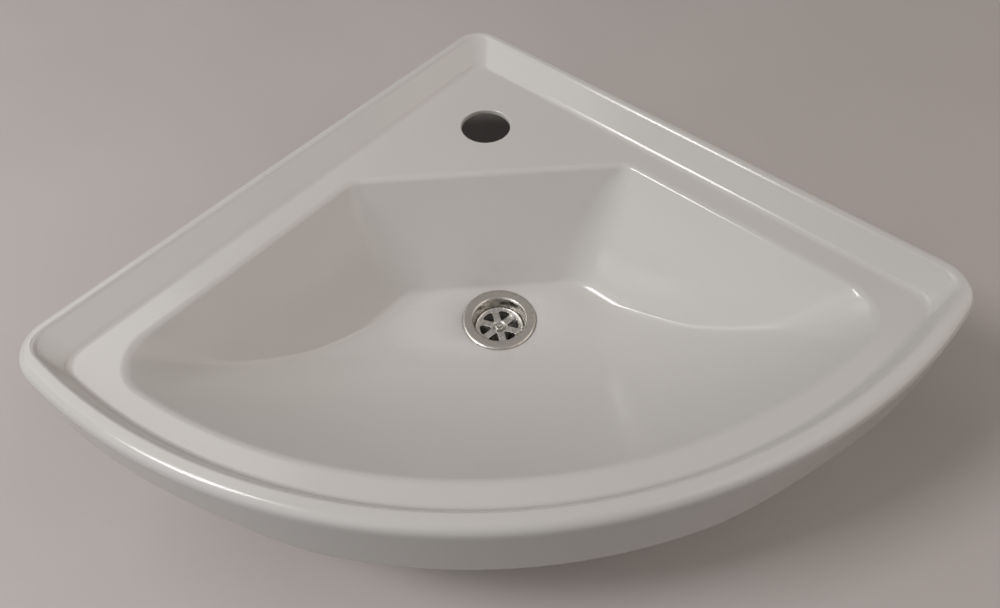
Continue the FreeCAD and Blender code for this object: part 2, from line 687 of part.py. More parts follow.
def waste_body():
    """Plastic: a collar and chamber under the floor, a threaded tail, a ribbed boss."""
    body = waste_piece("waste_body")
    collar_foot = f"({BODY_TOP} - sizes.collar_height)"
    neck = f"({CHAMBER_RADIUS} + sizes.body_wall)"
    turned(body, "casing", (
        (CHAMBER_RADIUS, BODY_TOP),
        (CHAMBER_RADIUS, CHAMBER_FOOT),
        (TAIL_BORE, TAIL_TOP),
        (TAIL_BORE, TAIL_END),
        ("sizes.tail_radius - sizes.tail_chamfer", TAIL_END),
        ("sizes.tail_radius", f"{TAIL_END} + sizes.tail_chamfer"),
        ("sizes.tail_radius", TAIL_TOP),
        (neck, TAIL_TOP),
        (neck, collar_foot),
        (COLLAR_RADIUS, collar_foot),
        (COLLAR_RADIUS, BODY_TOP),
    ))
    rib_end = "(sizes.tail_radius - sizes.tail_wall / 2)"
    half_rib = "sizes.rib_width / 2"
    rib_plan = polygon_sketch(body, "rib_plan", "XY_Plane", (
        (half_rib, "0"), (f"-{half_rib}", "0"),
        (f"-{half_rib}", f"-{rib_end}"), (half_rib, f"-{rib_end}"),
    ), BOSS_FOOT)
    rib_height = f"({TAIL_TOP} + sizes.funnel_height / 2 - {BOSS_FOOT})"
    rib = pad(body, "rib", rib_plan, rib_height)
    ring_of(body, "ribs", rib, rib_plan, "sizes.rib_count")
    boss_plan = circle_sketch(body, "boss_plan", ("0", "0"), BOSS_RADIUS, BOSS_FOOT)
    pad(body, "boss", boss_plan, f"({BOSS_TOP} - {BOSS_FOOT})")
    socket_radius = f"({INSERT_RADIUS} + sizes.insert_fit)"
    socket = circle_sketch(body, "socket", ("0", "0"), socket_radius, BOSS_TOP)
    pocket(body, "socket_cut", socket, "sizes.insert_length")


def screw_insert():
    """The brass bush in the boss that the screw is driven into."""
    body = waste_piece("screw_insert")
    bore = "(sizes.screw_radius + sizes.thread_fit)"
    turned(body, "bush", (
        (bore, INSERT_FOOT),
        (INSERT_RADIUS, INSERT_FOOT),
        (INSERT_RADIUS, BOSS_TOP),
        (bore, BOSS_TOP),
    ))


# ------------------------------------------------------------ make and export

basin_shell()
waste_flange()
strainer_grid()
centre_screw()
seal("upper_seal", UPPER_SEAL_OUTSIDE, "0", "sizes.upper_seal_height")
lower_foot = "(-sizes.skin - sizes.lower_seal_height)"
seal("lower_seal", LOWER_SEAL_OUTSIDE, lower_foot, "sizes.lower_seal_height")
waste_body()
screw_insert()
doc.recompute()

for item in doc.Objects:
    if "Invalid" in item.State or "Error" in item.State:
        raise RuntimeError(f"{item.Name} did not build: {item.State}")
pieces = [item for item in doc.Objects if item.TypeId == "PartDesign::Body"]
for piece in pieces:
    if piece.Shape.isNull() or not piece.Shape.isValid():
        raise RuntimeError(f"{piece.Label} has no sound shape")
    if len(piece.Shape.Solids) != 1:
        raise RuntimeError(f"{piece.Label} is not one solid")

os.makedirs("parts", exist_ok=True)
for piece in pieces:
    piece.Shape.exportStep(f"parts/{piece.Label}.step")
    print(f"{piece.Label}: {piece.Shape.Volume / 1000:.1f} cm3")
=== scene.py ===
import math  # noqa: E402

import bmesh  # noqa: E402
import bpy  # noqa: E402
from mathutils import Matrix, Vector  # noqa: E402


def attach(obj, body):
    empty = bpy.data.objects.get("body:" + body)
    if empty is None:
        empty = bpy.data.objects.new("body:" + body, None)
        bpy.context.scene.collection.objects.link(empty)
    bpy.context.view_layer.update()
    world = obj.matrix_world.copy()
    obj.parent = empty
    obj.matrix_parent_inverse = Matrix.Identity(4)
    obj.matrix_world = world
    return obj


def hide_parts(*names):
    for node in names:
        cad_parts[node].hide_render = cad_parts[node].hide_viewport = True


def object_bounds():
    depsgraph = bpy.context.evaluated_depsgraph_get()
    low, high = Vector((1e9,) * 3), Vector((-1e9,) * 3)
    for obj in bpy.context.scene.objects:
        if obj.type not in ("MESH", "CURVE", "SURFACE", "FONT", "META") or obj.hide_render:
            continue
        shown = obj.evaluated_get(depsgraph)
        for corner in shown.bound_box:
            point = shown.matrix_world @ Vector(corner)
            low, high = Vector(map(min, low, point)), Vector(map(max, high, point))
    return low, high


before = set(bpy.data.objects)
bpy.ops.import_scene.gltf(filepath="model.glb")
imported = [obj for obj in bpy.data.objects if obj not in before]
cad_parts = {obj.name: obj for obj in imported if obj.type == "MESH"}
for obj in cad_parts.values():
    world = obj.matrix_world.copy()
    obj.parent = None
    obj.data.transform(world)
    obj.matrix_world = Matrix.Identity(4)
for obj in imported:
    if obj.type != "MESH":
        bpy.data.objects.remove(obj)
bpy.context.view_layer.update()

# Sizes are in millimetres, about the wall corner at the top of the rim, unless named
# otherwise. +Z is up and the curved front faces -Y.
MM = 0.001
TINY = 2e-6  # shortest edge kept in the shell, in metres
SAME_POINT = 1e-6  # points this near are merged, in metres

# ------------------------------------------------------------------ the shell

SIDE_LENGTH = 400.0
FRONT_DEPTH = 412.0
FRONT_CENTRE = (FRONT_DEPTH**2 - SIDE_LENGTH**2) / (
    2 * FRONT_DEPTH - math.sqrt(2) * SIDE_LENGTH
)
FRONT_RADIUS = FRONT_DEPTH - FRONT_CENTRE
WALL_TURN = math.radians(45)

SKIN = 3.8
LIP_DEPTH = 35.0
APRON_EXTRA = 15.0
APRON_FLAT = 100.0
APRON_END = 180.0
LIP_ROUND = 1.6

DECK_DROP = 12.0
RIM_WIDTH = {"side": 6.0, "front": 11.0}
RIM_ROUND = {"side": 3.4, "front": 6.5}
RIM_INNER_ROUND = {"side": 2.6, "front": 2.2}
RIM_EDGE = {"side": (7.7, -1.6, 4.0), "front": (12.9, -3.0, 3.0)}
DECK_STEP = {"side": (22.3, -9.7, 4.0), "front": (16.0, -9.4, 2.0)}
DECK_INSET = {"side": 24.8, "front": 17.5}
DECK_COVE = {"side": 5.5, "front": 3.0}
RIM_CORNERS = (26.2, 14.0, 14.0)  # plan rounding at each end: outside, rim, deck
RIM_APEX = (22.15, 12.0, 9.0)  # plan rounding by the wall corner, in the same order

MOUTH_INSET = {"side": 43.0, "front": 33.0, "back": 154.4}
MOUTH_ROUND = {"side": 5.0, "front": 6.5, "back": 5.0}
BOWL_DEPTH = 82.0
WALL_ANGLE = {"side": math.radians(59), "back": math.radians(67)}
FLOOR_ROUND = {"side": 14.0, "back": 4.5}
DISH_RUN = 132.0
DISH_FOOT_SLOPE = 0.3
DISH_FOOT_BLEND = 6.0
LEVEL_TOP = 4.0  # bowl sections are level between these two depths below the deck
LEVEL_FOOT = 75.0
# Plan rounding between the side walls and the dished front, by depth.
CREASE = ((0, 26), (46, 5), (66, 5), (82, 18))
# Plan rounding between the side walls and the back wall, by depth.
BACK_CREASE = ((0, 14), (22, 36), (60, 46), (82, 36))

TAP_MIDDLE = 106.2
TAP_RADIUS = 17.5
WASTE_MIDDLE = 218.607
WASTE_HOLE = 20.7
SEAT_RADIUS = 31.5
FLOOR = -(DECK_DROP + BOWL_DEPTH)
TAP_EDGE = 1.0
TAP_EDGE_STEPS = 5
TAP_LEAD = 1.6  # the deck's edge round the tap hole, before the rounding
WASTE_EDGE = 0.3
HOLE_FOOT_EDGE = 0.4

# How each section is drawn: runs of flat beside a rounding, and what is trimmed off.
DECK_RUN_ON = 0.8
WALL_RUN_ON = 1.0
MOUTH_LEAD = 14.0
MOUTH_KEPT = 0.75
MOUTH_TRIM = 0.8
UNDER_TRIM = 1.5
DISH_TOP_GAP = 6.0
DISH_STEP = 1.5
SHORTEST = 0.02
UNDER_ROUND = 1.0
UNDER_ROUND_SHARE = 0.4
UNDER_FOOT_SHARE = 0.4

# How finely the shell is cut.
HALF_COUNTS = {"back": 9, "corner": 12, "side": 46, "end": 20, "front": 60}
RIM_CUTS = {"arc_steps": 8, "hold": 0.6, "cuts": 2}
WALL_CUTS = {"arc_steps": 24, "cuts": 12}
MOUTH_RINGS = 12
LEVEL_RINGS = 34
FOOT_RINGS = 16
HOLE_POINTS = 96


def eased(share):
    """A share of 0 to 1 that starts and ends gently."""
    return share * share * (3 - 2 * share)


def between(knots, at):
    """Smoothly read a value off knots given as (place, value)."""
    for (low, before), (high, after) in zip(knots, knots[1:]):
        if at <= high:
            share = max(0.0, (at - low) / (high - low))
            return before + (after - before) * eased(share)
    return knots[-1][1]


def straight(start, end, count):
    """Points from start towards end, without the last."""
    return [start.lerp(end, step / count) for step in range(count)]


def arc(middle, radius, start, end, count):
    """Points along an arc, without the last."""
    points = []
    for step in range(count):
        angle = start + (end - start) * step / count
        points.append(middle + Vector((math.cos(angle), math.sin(angle))) * radius)
    return points


def sector(turn, middle_back, side, front, end_round, back_round, back=None, counts=HALF_COUNTS):
    """Right half of a sector with rounded corners, from its back's middle to its front's.

    Gives each point with how far it belongs to the side and to the front; the rest of
    it belongs to the back.
    """
    out = Vector((math.cos(turn), math.sin(turn)))
    ratio = out.x / out.y
    lean = (side + end_round) / out.y - middle_back
    span = front - end_round
    square = 1 + ratio**2
    root = math.sqrt((ratio * lean) ** 2 - square * (lean**2 - span**2))
    end_x = (root - ratio * lean) / square
    end_middle = Vector((end_x, -(side + end_round) / out.y - ratio * end_x))
    low = math.atan2(end_middle.y + middle_back, end_middle.x)
    front_middle = Vector((0, -middle_back))

    points = []
    if back is None:
        apex = Vector((0, -(side + back_round) / out.y))
        count = counts["back"] + counts["corner"]
        for point in arc(apex, back_round, math.pi / 2, turn, count):
            points.append((point, 1, 0))
        side_high = apex + out * back_round
    else:
        corner_y = -back - back_round
        corner_x = -(side + back_round + out.y * corner_y) / out.x
        corner = Vector((corner_x, corner_y))
        top = corner + Vector((0, back_round))
        for point in straight(Vector((0, -back)), top, counts["back"]):
            points.append((point, 0, 0))
        turned = arc(corner, back_round, math.pi / 2, turn, counts["corner"])
        for step, point in enumerate(turned):
            points.append((point, eased(step / counts["corner"]), 0))
        side_high = corner + out * back_round
    side_low = end_middle + out * end_round
    for point in straight(side_high, side_low, counts["side"]):
        points.append((point, 1, 0))
    for step, point in enumerate(arc(end_middle, end_round, turn, low, counts["end"])):
        share = eased(step / counts["end"])
        points.append((point, 1 - share, share))
    for point in arc(front_middle, front, low, -math.pi / 2, counts["front"]):
        points.append((point, 0, 1))
    points.append((Vector((0, -middle_back - front)), 0, 1))
    return points


def closed(half):
    """The whole loop from its right half."""
    left = [(Vector((-p.x, p.y)), side, front) for p, side, front in half[-2:0:-1]]
    return half + left


def rounded_line(corners, arc_steps=8, hold=0.5, cuts=1):
    """Points along a line with rounded corners, each with its place along the line.

    corners are (across, up, radius). The place is the number of the last corner passed,
    plus the share of the way to the next one.
    """
    ends = [Vector(corner[:2]) for corner in corners]
    trims = [0.0]
    for index in range(1, len(corners) - 1):
        before = (ends[index] - ends[index - 1]).normalized()
        after = (ends[index + 1] - ends[index]).normalized()
        turn = before.angle(after, 0.0)
        trims.append(corners[index][2] * math.tan(turn / 2))
    trims.append(0.0)
    points = [(ends[0], 0.0)]
    for index in range(1, len(corners)):
        leg = ends[index] - ends[index - 1]
        length = leg.length
        free = length - trims[index - 1] - trims[index]
        near = min(hold, free * 0.3)
        for step in range(cuts + 2):
            far = near + (free - 2 * near) * step / (cuts + 1)
            place = (trims[index - 1] + far) / length
            points.append((ends[index - 1] + leg * place, index - 1 + place))
        if index == len(corners) - 1:
            points.append((ends[index], float(index)))
            break
        onward = ends[index + 1] - ends[index]
        radius = corners[index][2]
        before = leg.normalized()
        after = onward.normalized()
        turn = before.angle(after, 0.0)
        inward = (after - before).normalized()
        middle = ends[index] + inward * radius / math.cos(turn / 2)
        along = (before + after).normalized()
        start = index - trims[index] / length
        end = index + trims[index] / onward.length
        for step in range(arc_steps + 1):
            share = step / arc_steps
            angle = (share - 0.5) * turn
            spot = middle + (along * math.sin(angle) - inward * math.cos(angle)) * radius
            points.append((spot, start + (end - start) * share))
    return points


def rounded_ring(corners, arc_steps=6):
    """A closed outline of (radius, height, rounding) corners, as (radius, height) points."""
    points = []
    for index, (across, up, radius) in enumerate(corners):
        here = Vector((across, up))
        before = Vector(corners[index - 1][:2])
        after = Vector(corners[(index + 1) % len(corners)][:2])
        if radius == 0:
            points.append(here)
            continue
        inward = (here - before).normalized()
        onward = (after - here).normalized()
        turn = inward.angle(onward, 0.0)
        bisector = (onward - inward).normalized()
        middle = here + bisector * radius / math.cos(turn / 2)
        along = (inward + onward).normalized()
        for step in range(arc_steps + 1):
            angle = (step / arc_steps - 0.5) * turn
            points.append(middle + (along * math.sin(angle) - bisector * math.cos(angle)) * radius)
    return points


def read_off(values, place):
    """A value that changes evenly from corner to corner of a rounded line."""
    index = min(int(place), len(values) - 2)
    share = place - index
    return values[index] + (values[index + 1] - values[index]) * share


def moved_off(line, distance):
    """The line moved to its left by a distance, point by point."""
    moved = []
    for index, point in enumerate(line):
        before = line[max(index - 1, 0)]
        after = line[min(index + 1, len(line) - 1)]
        along = (after - before).normalized()
        moved.append(point + Vector((-along.y, along.x)) * distance)
    return moved


def spaced(line, count):
    """The line again, as points at even steps."""
    lengths = [0.0]
    for start, end in zip(line, line[1:]):
        lengths.append(lengths[-1] + (end - start).length)
    points = []
    index = 0
    for step in range(count):
        far = lengths[-1] * step / (count - 1)
        while index < len(line) - 2 and lengths[index + 1] < far:
            index += 1
        stretch = lengths[index + 1] - lengths[index]
        share = (far - lengths[index]) / stretch if stretch else 0.0
        points.append(line[index].lerp(line[index + 1], share))
    return points


def cut_at(line, depth):
    """Split a line that goes down at a depth: the part above and the part below."""
    for index, (start, end) in enumerate(zip(line, line[1:])):
        if start.y > -depth >= end.y:
            spot = start.lerp(end, (start.y + depth) / (start.y - end.y))
            return line[: index + 1] + [spot], [spot] + line[index + 1 :]
    raise ValueError(f"the line doesn't pass {depth}")


def across_at(line, depth):
    """How far across a line that goes down is at a depth."""
    return cut_at(line, depth)[0][-1].x


def dish_height(run):
    """Height of the dished front above the floor, at a level distance from its foot."""
    curve = (BOWL_DEPTH - DISH_FOOT_SLOPE * DISH_RUN) / DISH_RUN**2
    blend = DISH_FOOT_BLEND
    extra = curve * blend**2
    scale = BOWL_DEPTH / (BOWL_DEPTH + extra)
    if run >= blend:
        return (DISH_FOOT_SLOPE * run + curve * run**2 + extra) * scale
    steepest = DISH_FOOT_SLOPE + 2 * curve * blend
    return steepest * max(run + blend, 0.0) ** 2 / (4 * blend) * scale


def wall_line(kind):
    """Section of the bowl from the deck to the floor: (inset, height above the deck)."""
    inset = MOUTH_INSET[kind]
    if kind == "front":
        corners = [(inset - MOUTH_LEAD, 0, 0), (inset, 0, MOUTH_ROUND[kind])]
        run = DISH_RUN - DISH_TOP_GAP
        while run > -DISH_FOOT_BLEND:
            corners.append((inset + DISH_RUN - run, dish_height(run) - BOWL_DEPTH, 0))
            run -= DISH_STEP
        foot = inset + DISH_RUN + DISH_FOOT_BLEND
        corners.append((foot, -BOWL_DEPTH, 0))
        corners.append((foot + WALL_RUN_ON, -BOWL_DEPTH, 0))
    else:
        foot = inset + BOWL_DEPTH / math.tan(WALL_ANGLE[kind])
        flat = FLOOR_ROUND[kind] * math.tan(WALL_ANGLE[kind] / 2) + WALL_RUN_ON
        corners = [
            (inset - MOUTH_LEAD, 0, 0),
            (inset, 0, MOUTH_ROUND[kind]),
            (foot, -BOWL_DEPTH, FLOOR_ROUND[kind]),
            (foot + flat, -BOWL_DEPTH, 0),
        ]
    line = [point for point, _ in rounded_line(corners, **WALL_CUTS)]
    if kind == "front":
        line = [line[0]] + [b for a, b in zip(line, line[1:]) if (b - a).length > SHORTEST]
    return line


def trimmed(line, kind, under):
    """The wall line from just before its rounded mouth."""
    start = MOUTH_INSET[kind] - MOUTH_ROUND[kind] * MOUTH_KEPT - MOUTH_TRIM
    if under:
        start -= UNDER_TRIM
    kept = [point for point in line if point.x > start + SHORTEST / 2]
    return [Vector((start, line[0].y))] + kept


def apron_extra(x):
    """How much deeper the front apron is than the lips."""
    share = (APRON_END - abs(x)) / (APRON_END - APRON_FLAT)
    return APRON_EXTRA * eased(min(max(share, 0.0), 1.0))


def ring(side, front, ends, back=None, drop=0.0):
    """One closed loop of points, in metres.

    side, front and back are (inset, height); ends are the plan roundings at the front's
    two ends and at the back; drop is the share of the apron's extra depth taken here.
    """
    loop = closed(
        sector(
            WALL_TURN,
            FRONT_CENTRE,
            side[0],
            FRONT_RADIUS - front[0],
            ends[0],
            ends[1],
            None if back is None else back[0],
        )
    )
    heights = (side[1], front[1], side[1] if back is None else back[1])
    points = []
    for point, is_side, is_front in loop:
        z = is_side * heights[0] + is_front * heights[1]
        z += (1 - is_side - is_front) * heights[2]
        z -= is_front * drop * apron_extra(point.x)
        points.append(Vector((point.x, point.y, z)) * MM)
    return points


def rim_rings(under):
    """Loops from the bottom of the lips to the flat of the deck."""
    lines = {}
    for kind in ("side", "front"):
        if under:
            lean = (DECK_INSET[kind] - RIM_WIDTH[kind]) / DECK_DROP
            shift = SKIN * (lean - math.sqrt(1 + lean**2))
            rim = RIM_WIDTH[kind] + shift
            foot = DECK_INSET[kind] + shift
            small = min(UNDER_ROUND, (rim - SKIN) * UNDER_ROUND_SHARE)
            cove = DECK_COVE["front"] + SKIN
            end = foot + cove * math.tan(math.atan(1 / lean) / 2) + DECK_RUN_ON
            corners = [
                (SKIN / 2, -LIP_DEPTH, 0),
                (SKIN, -LIP_DEPTH, LIP_ROUND),
                (SKIN, -SKIN, small),
                (rim, -SKIN, small),
                (foot, -DECK_DROP - SKIN, cove),
                (end, -DECK_DROP - SKIN, 0),
            ]
        else:
            end = DECK_INSET[kind] + DECK_COVE[kind] + DECK_RUN_ON
            corners = [
                (SKIN / 2, -LIP_DEPTH, 0),
                (0, -LIP_DEPTH, LIP_ROUND),
                (0, 0, RIM_ROUND[kind]),
                (RIM_WIDTH[kind], 0, RIM_INNER_ROUND[kind]),
                RIM_EDGE[kind],
                DECK_STEP[kind],
                (DECK_INSET[kind], -DECK_DROP, DECK_COVE[kind]),
                (end, -DECK_DROP, 0),
            ]
        lines[kind] = rounded_line(corners, **RIM_CUTS)
    roundings = []
    for outer, rim, deck in (RIM_CORNERS, RIM_APEX):
        if under:
            sizes = [outer, outer - SKIN, outer - SKIN, rim + SKIN, deck + SKIN, deck + SKIN]
        else:
            sizes = [outer, outer, outer, rim, rim, deck, deck, deck]
        roundings.append(sizes)
    rings = []
    for (side, place), (front, _) in zip(lines["side"], lines["front"]):
        ends = [read_off(sizes, place) for sizes in roundings]
        drop = min(max(2.0 - place, 0.0), 1.0)
        rings.append(ring(side, front, ends, drop=drop))
    return rings


def bowl_rings(under):
    """Loops from the flat of the deck to the flat of the floor."""
    thick = SKIN if under else 0.0
    lines = {}
    for kind in ("side", "front", "back"):
        line = wall_line(kind)
        if under:
            line = moved_off(line, -SKIN)
        lines[kind] = trimmed(line, kind, under)
    top = LEVEL_TOP + thick
    foot = LEVEL_FOOT + thick * UNDER_FOOT_SHARE
    mouths = {kind: spaced(cut_at(line, top)[0], MOUTH_RINGS) for kind, line in lines.items()}
    feet = {kind: spaced(cut_at(line, foot)[1], FOOT_RINGS) for kind, line in lines.items()}
    rows = []
    for step in range(MOUTH_RINGS):
        rows.append({kind: mouths[kind][step] for kind in lines})
    for step in range(1, LEVEL_RINGS):
        depth = top + (foot - top) * step / LEVEL_RINGS
        rows.append({kind: Vector((across_at(lines[kind], depth), -depth)) for kind in lines})
    for step in range(FOOT_RINGS):
        rows.append({kind: feet[kind][step] for kind in lines})
    rings = []
    for row in rows:
        depth = -row["side"].y - thick
        outward = 0.0
        if depth < LEVEL_TOP:
            outward = max(0.0, MOUTH_INSET["side"] - row["side"].x)
        end = between(CREASE, depth) + thick + outward
        corner = between(BACK_CREASE, depth) + thick + outward
        lowered = {kind: (row[kind].x, row[kind].y - DECK_DROP) for kind in lines}
        rings.append(
            ring(lowered["side"], lowered["front"], (end, corner), back=lowered["back"])
        )
    return rings


def new_loop(bm, points):
    """A closed loop of edges through points."""
    verts = [bm.verts.new(point) for point in points]
    edges = []
    for index, vert in enumerate(verts):
        edges.append(bm.edges.new((vert, verts[(index + 1) % len(verts)])))
    return verts, edges


def drawn_on(bm, verts, edges, loops):
    """Extrude a closed loop of edges through further loops of points."""
    for points in loops:
        made = bmesh.ops.extrude_edge_only(bm, edges=edges)["geom"]
        fresh = {item for item in made if isinstance(item, bmesh.types.BMVert)}
        follow = []
        for vert in verts:
            others = [edge.other_vert(vert) for edge in vert.link_edges]
            follow.append(next(other for other in others if other in fresh))
        for vert, point in zip(follow, points):
            vert.co = point
        edges = [bm.edges.get((follow[i - 1], follow[i])) for i in range(len(follow))]
        verts = follow
    return verts, edges


def circle(radius, height, middle_back=0.0, count=120):
    """A level circle of points, in metres."""
    points = []
    for step in range(count):
        angle = math.tau * step / count
        across = math.cos(angle) * radius
        along = math.sin(angle) * radius - middle_back
        points.append(Vector((across, along, height)) * MM)
    return points


def finished(bm, name, material):
    """Make a piece of the basin from a bmesh."""
    mesh = bpy.data.meshes.new(name)
    bm.to_mesh(mesh)
    bm.free()
    for face in mesh.polygons:
        face.use_smooth = True
    piece = bpy.data.objects.new(name, mesh)
    bpy.context.scene.collection.objects.link(piece)
    mesh.materials.append(material)
    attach(piece, "root")
    return piece


WASTE_AXIS = Vector((0, -WASTE_MIDDLE, FLOOR)) * MM
SEAT_PAD = (
    (WASTE_HOLE, -4.0, 0.2),
    (SEAT_RADIUS, -4.0, 0.5),
    (SEAT_RADIUS, -1.5, 0),
    (WASTE_HOLE, -1.5, 0),
)


def spun(bm, outline, steps=128, whole=True):
    """Turn an outline of (radius, height) points once round the upright axis."""
    verts = [bm.verts.new((0, -point[0] * MM, point[1] * MM)) for point in outline]
    edges = [bm.edges.new(pair) for pair in zip(verts, verts[1:])]
    if whole:
        edges.append(bm.edges.new((verts[-1], verts[0])))
    bmesh.ops.spin(
        bm,
        geom=verts + edges,
        cent=(0, 0, 0),
        axis=(0, 0, 1),
        angle=math.tau,
        steps=steps,
        use_merge=True,
    )


def shell_mesh():
    """The whole basin: rim, lips, apron, deck and bowl, with the seat pad below the floor."""
    bm = bmesh.new()
    spun(bm, rounded_ring(SEAT_PAD))
    bmesh.ops.translate(bm, verts=bm.verts, vec=WASTE_AXIS)
    rims = {under: rim_rings(under) for under in (False, True)}
    bowls = {under: bowl_rings(under) for under in (False, True)}
    start, start_edges = new_loop(bm, rims[False][0])
    deck_edges = {}
    _, deck_edges[False] = drawn_on(bm, start, start_edges, rims[False][1:])
    _, deck_edges[True] = drawn_on(bm, start, start_edges, rims[True][1:])
    floor_edges = {}
    mouth_edges = {}
    for under in (False, True):
        mouth, mouth_edges[under] = new_loop(bm, bowls[under][0])
        _, floor_edges[under] = drawn_on(bm, mouth, mouth_edges[under], bowls[under][1:])

    deck = -DECK_DROP
    lead = circle(TAP_RADIUS + TAP_LEAD, deck, TAP_MIDDLE, HOLE_POINTS)
    tap, tap_edges = new_loop(bm, lead)
    wall = []
    for step in range(TAP_EDGE_STEPS + 1):
        angle = math.radians(90 * step / TAP_EDGE_STEPS)
        wall.append((TAP_RADIUS + TAP_EDGE - math.sin(angle), deck - TAP_EDGE + math.cos(angle)))
    wall.append((TAP_RADIUS, deck - SKIN + HOLE_FOOT_EDGE))
    wall.append((TAP_RADIUS + HOLE_FOOT_EDGE, deck - SKIN))
    wall = [circle(radius, height, TAP_MIDDLE, HOLE_POINTS) for radius, height in wall]
    _, tap_low = drawn_on(bm, tap, tap_edges, wall)
    wall = [(WASTE_HOLE + WASTE_EDGE, FLOOR), (WASTE_HOLE, FLOOR - WASTE_EDGE)]
    wall.append((WASTE_HOLE, FLOOR - SKIN))
    wall = [circle(radius, height, WASTE_MIDDLE, HOLE_POINTS) for radius, height in wall]
    waste, waste_edges = new_loop(bm, wall[0])
    _, waste_low = drawn_on(bm, waste, waste_edges, wall[1:])

    for loops in (
        deck_edges[False] + mouth_edges[False] + tap_edges,
        deck_edges[True] + mouth_edges[True] + tap_low,
        floor_edges[False] + waste_edges,
        floor_edges[True] + waste_low,
    ):
        bmesh.ops.triangle_fill(bm, use_beauty=True, use_dissolve=False, edges=loops)
    bmesh.ops.dissolve_degenerate(bm, dist=TINY, edges=bm.edges)
    bmesh.ops.recalc_face_normals(bm, faces=bm.faces)
    return bm


# ------------------------------------------------------------------ the waste
# These pieces are drawn about the waste's own axis, with height 0 on the bowl's floor.

SHEET = 0.9
FLANGE = (
    (26.2, 0.3, 0.2),
    (26.2, 1.2, 0.7),
    (24.8, 1.9, 3.0),
    (19.4, 1.6, 1.2),
    (18.3, 0.4, 1.2),
    (17.5, -9.0, 0.5),
    (14.8, -9.0, 0.2),
    (14.8, -9.0 - SHEET, 0.2),
    (18.4, -9.0 - SHEET, 1.4),
    (19.2, 1.0, 0.6),
    (24.8, 1.0, 0.6),
    (25.5, 0.3, 0.2),
)
UPPER_SEAL = ((21.0, 0, 0.3), (24.6, 0, 0.45), (24.6, 1.0, 0.45), (21.0, 1.0, 0.3))
LOWER_SEAL = ((21.0, -7.0, 0.5), (30.0, -7.0, 1.4), (30.0, -4.0, 1.4), (21.0, -4.0, 0.5))

GRID_TOP = -8.0
GRID_FOOT = -9.0
GRID_RADIUS = 17.3
GRID_TURN = math.radians(38)
SLOT_INSET = 2.5
SLOT_RADIUS = 13.9
SLOT_END_ROUND = 1.5
SLOT_APEX_ROUND = 1.1
SLOT_EDGE = 0.3
SLOT_COUNTS = {"back": 0, "corner": 8, "side": 4, "end": 8, "front": 8}
GRID_EDGE = (
    (15.8, GRID_TOP),
    (16.25, -7.72),
    (16.5, -7.56),
    (16.8, -7.5),
    (17.08, -7.6),
    (17.25, -7.85),
    (GRID_RADIUS, -8.2),
    (GRID_RADIUS, -8.8),
    (17.2, GRID_FOOT),
)
GRID_RECESS = (
    (5.3, GRID_TOP),
    (4.9, -8.06),
    (4.6, -8.3),
    (4.35, -8.6),
    (4.0, -8.78),
    (3.6, -8.8),
    (2.95, -8.8),
    (2.8, -8.95),
    (2.8, -9.8),
    (4.1, -9.8),
    (4.6, -9.68),
    (5.0, -9.3),
    (5.5, GRID_FOOT),
)

GRID_POINTS = 72
GRID_FOOT_EDGE = 0.1
SLOT_COUNT = 6
SLOT_EDGE_STEPS = 4

HEAD_SEAT = -8.8
HEAD_TOP = -7.1
HEAD = (
    (2.2, HEAD_TOP),
    (2.7, HEAD_TOP - 0.06),
    (3.05, HEAD_TOP - 0.25),
    (3.28, HEAD_TOP - 0.55),
    (3.4, HEAD_TOP - 0.95),
    (3.4, HEAD_SEAT),
)
CROSS_LONG = 2.0
CROSS_THIN = 0.4
CROSS_DEPTH = 1.0
CROSS_TURN = 20
CROSS_LEAD = (0.12, 0.15)  # how far the recess flares at its top, and how deep
CROSS_TAPER = 0.1
SHANK_RADIUS = 2.5
SHANK_TIP = -20.4
SHANK_POINT = ((1.9, SHANK_TIP), (0.6, SHANK_TIP))
SHANK_POINT_HEIGHT = 0.6
SHANK_PLAIN = 1.0
SHANK_PITCH = 0.8
SHANK_GROOVE = 0.4
SHANK_STEP = 0.1
SCREW_POINTS = 48

TAIL_CREST = 20.95
TAIL_PITCH = 2.309
TAIL_GROOVE = 1.3
TAIL_TOP = -17.9
TAIL_FOOT = -45.9
THREAD_START = TAIL_TOP - 1
THREAD_END = TAIL_FOOT + 0.6
BODY_OUTSIDE = (
    (20.2, -11.0, 0),
    (20.2, -7.0, 0.4),
    (31.5, -7.0, 0.5),
    (31.5, -10.0, 0.7),
    (23.2, -10.0, 0.8),
    (23.2, TAIL_TOP, 0.6),
    (TAIL_CREST, TAIL_TOP, 0.3),
    (TAIL_CREST, THREAD_START, 0),
)
BODY_INSIDE = (
    (TAIL_CREST, THREAD_END, 0),
    (TAIL_CREST, TAIL_FOOT, 0.4),
    (17.4, TAIL_FOOT, 0.6),
    (17.4, TAIL_TOP, 2.0),
    (20.2, -12.9, 1.5),
    (20.2, -11.0, 0),
)
THREAD_STEP = 0.25
BODY_CUTS = {"arc_steps": 5, "cuts": 0}
BOSS_STEPS = 64
BOSS = (
    (0.0, -21.4, 0),
    (3.92, -21.4, 0.2),
    (3.92, -11.4, 0.3),
    (6.02, -11.4, 0.5),
    (6.02, -23.4, 0.6),
    (0.0, -23.4, 0),
)
RIB_COUNT = 3
RIB_THICKNESS = 2.4
RIB_START = 5.0
RIB_REACH = 19.2
RIB_TOP = -15.4
RIB_FOOT = -23.4
RIB_EDGE = 0.4
RIB_EDGE_SEGMENTS = 2

# A thread's section, as shares of its pitch, and how near its crest a point has to lie.
THREAD_FLAT = 1.25
THREAD_FLANK = 2.5
ON_CREST = 0.01


